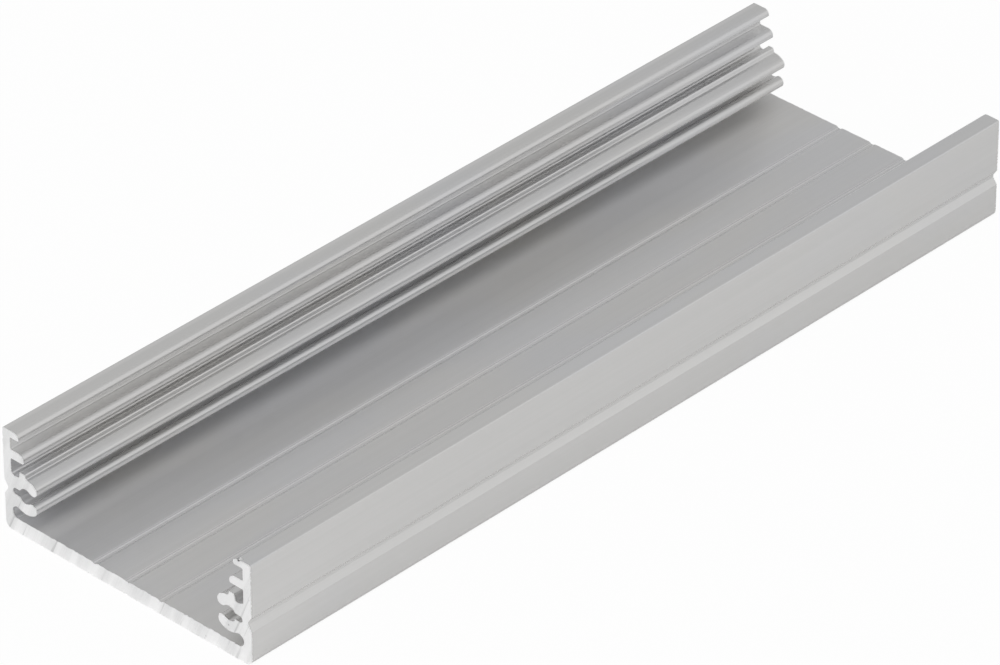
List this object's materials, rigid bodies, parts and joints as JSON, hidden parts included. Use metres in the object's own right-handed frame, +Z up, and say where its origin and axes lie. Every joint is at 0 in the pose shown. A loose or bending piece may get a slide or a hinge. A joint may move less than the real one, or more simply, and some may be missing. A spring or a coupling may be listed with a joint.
{
  "type": "aluminium led profile",
  "caption": "Wide low aluminium channel for a light strip, with cover slots, open screw ports along both walls and fine lines along its floor.",
  "frame": {"origin": "under the middle of the floor: centre of the length and width, on the underside", "axes": "+Y along the length, +X across the width, +Z up out of the open side of the channel"},
  "size_m": [0.05, 0.16, 0.0173],
  "materials": {
    "mill_finish": "extruded mill finish with fine lines along the length, and ends left as sawn"
  },
  "bodies": {
    "root": {"channel_profile": "mill_finish"}
  },
  "joints": []
}
